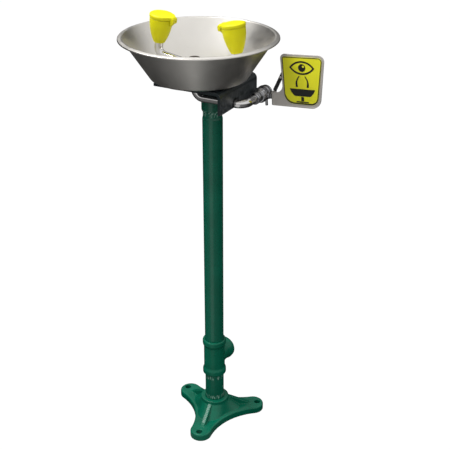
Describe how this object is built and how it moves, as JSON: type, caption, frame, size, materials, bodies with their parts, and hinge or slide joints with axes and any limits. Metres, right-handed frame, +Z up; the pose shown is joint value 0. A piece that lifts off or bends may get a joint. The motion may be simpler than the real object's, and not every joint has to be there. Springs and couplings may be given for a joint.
{
  "type": "eyewash station",
  "caption": "Pedestal eyewash station with a stainless bowl, capped twin spray heads, a pipe column on a floor flange and a push-flag ball valve.",
  "frame": {"origin": "on the column's axis, at the floor", "axes": "+Z up, -Y towards the user, +X to the user's right, where the valve and the push flag are"},
  "size_m": [0.3907, 0.312, 0.9546],
  "materials": {
    "green_paint": "dark green gloss paint on iron and steel pipe",
    "stainless": "satin stainless steel",
    "chrome": "bright chrome plate",
    "brass": "plain turned brass",
    "flag_steel": "satin grey steel plate",
    "dark_paint": "glossy dark slate paint",
    "yellow_plastic": "bright yellow moulded plastic",
    "sign_yellow": "yellow printed sign panel",
    "white_plastic": "plain off-white plastic",
    "rubber": "black seal rubber"
  },
  "bodies": {
    "stand": {"floor_flange": "green_paint", "base_nipple": "green_paint", "waste_tee": "green_paint", "column_pipe": "green_paint", "top_coupling": "green_paint", "support_flange": "green_paint", "mounting_bracket": "dark_paint", "bracket_screw_1": "chrome", "bracket_screw_2": "chrome", "bracket_screw_3": "chrome", "bracket_screw_4": "chrome", "bowl": "stainless", "bowl_pad": "rubber", "drain_gasket": "rubber", "drain_body": "chrome", "drain_strainer": "stainless", "waste_tailpiece": "chrome", "supply_tube": "chrome", "riser_locknut": "chrome", "riser_washer": "rubber", "riser_top_nut": "chrome", "yoke_tee": "chrome", "yoke_plug": "brass", "arm_left": "chrome", "arm_right": "chrome", "head_cup_left": "yellow_plastic", "head_cup_right": "yellow_plastic", "spray_insert_left": "white_plastic", "spray_insert_right": "white_plastic", "flow_disc_left": "white_plastic", "flow_disc_right": "white_plastic", "valve_body": "chrome", "valve_end_cap": "chrome", "outlet_nut": "chrome", "valve_stop_pin": "chrome", "valve_seat_front": "white_plastic", "valve_seat_rear": "white_plastic", "stem_gland_nut": "chrome"},
    "push_flag": {"flag_handle": "flag_steel", "push_sign": "sign_yellow", "flag_brace": "dark_paint", "brace_rivet_1": "chrome", "brace_rivet_2": "chrome", "valve_stem": "chrome", "valve_ball": "chrome", "handle_nut": "chrome"},
    "lid_left": {"head_lid_left": "yellow_plastic", "lid_hinge_pin_left": "chrome"},
    "lid_right": {"head_lid_right": "yellow_plastic", "lid_hinge_pin_right": "chrome"}
  },
  "joints": [
    {"name": "flag_push", "type": "hinge", "parent": "stand", "child": "push_flag", "pos_m": [0.102, 0.018, 0.795], "axis": [-0.9976, 0, -0.0698], "range_deg": [0, 90]},
    {"name": "lid_left_flip", "type": "hinge", "parent": "stand", "child": "lid_left", "pos_m": [-0.05177, -0.058, 0.9364], "axis": [0, 1, 0], "range_deg": [0, 110]},
    {"name": "lid_right_flip", "type": "hinge", "parent": "stand", "child": "lid_right", "pos_m": [0.05177, -0.058, 0.9364], "axis": [0, -1, 0], "range_deg": [0, 110]}
  ]
}
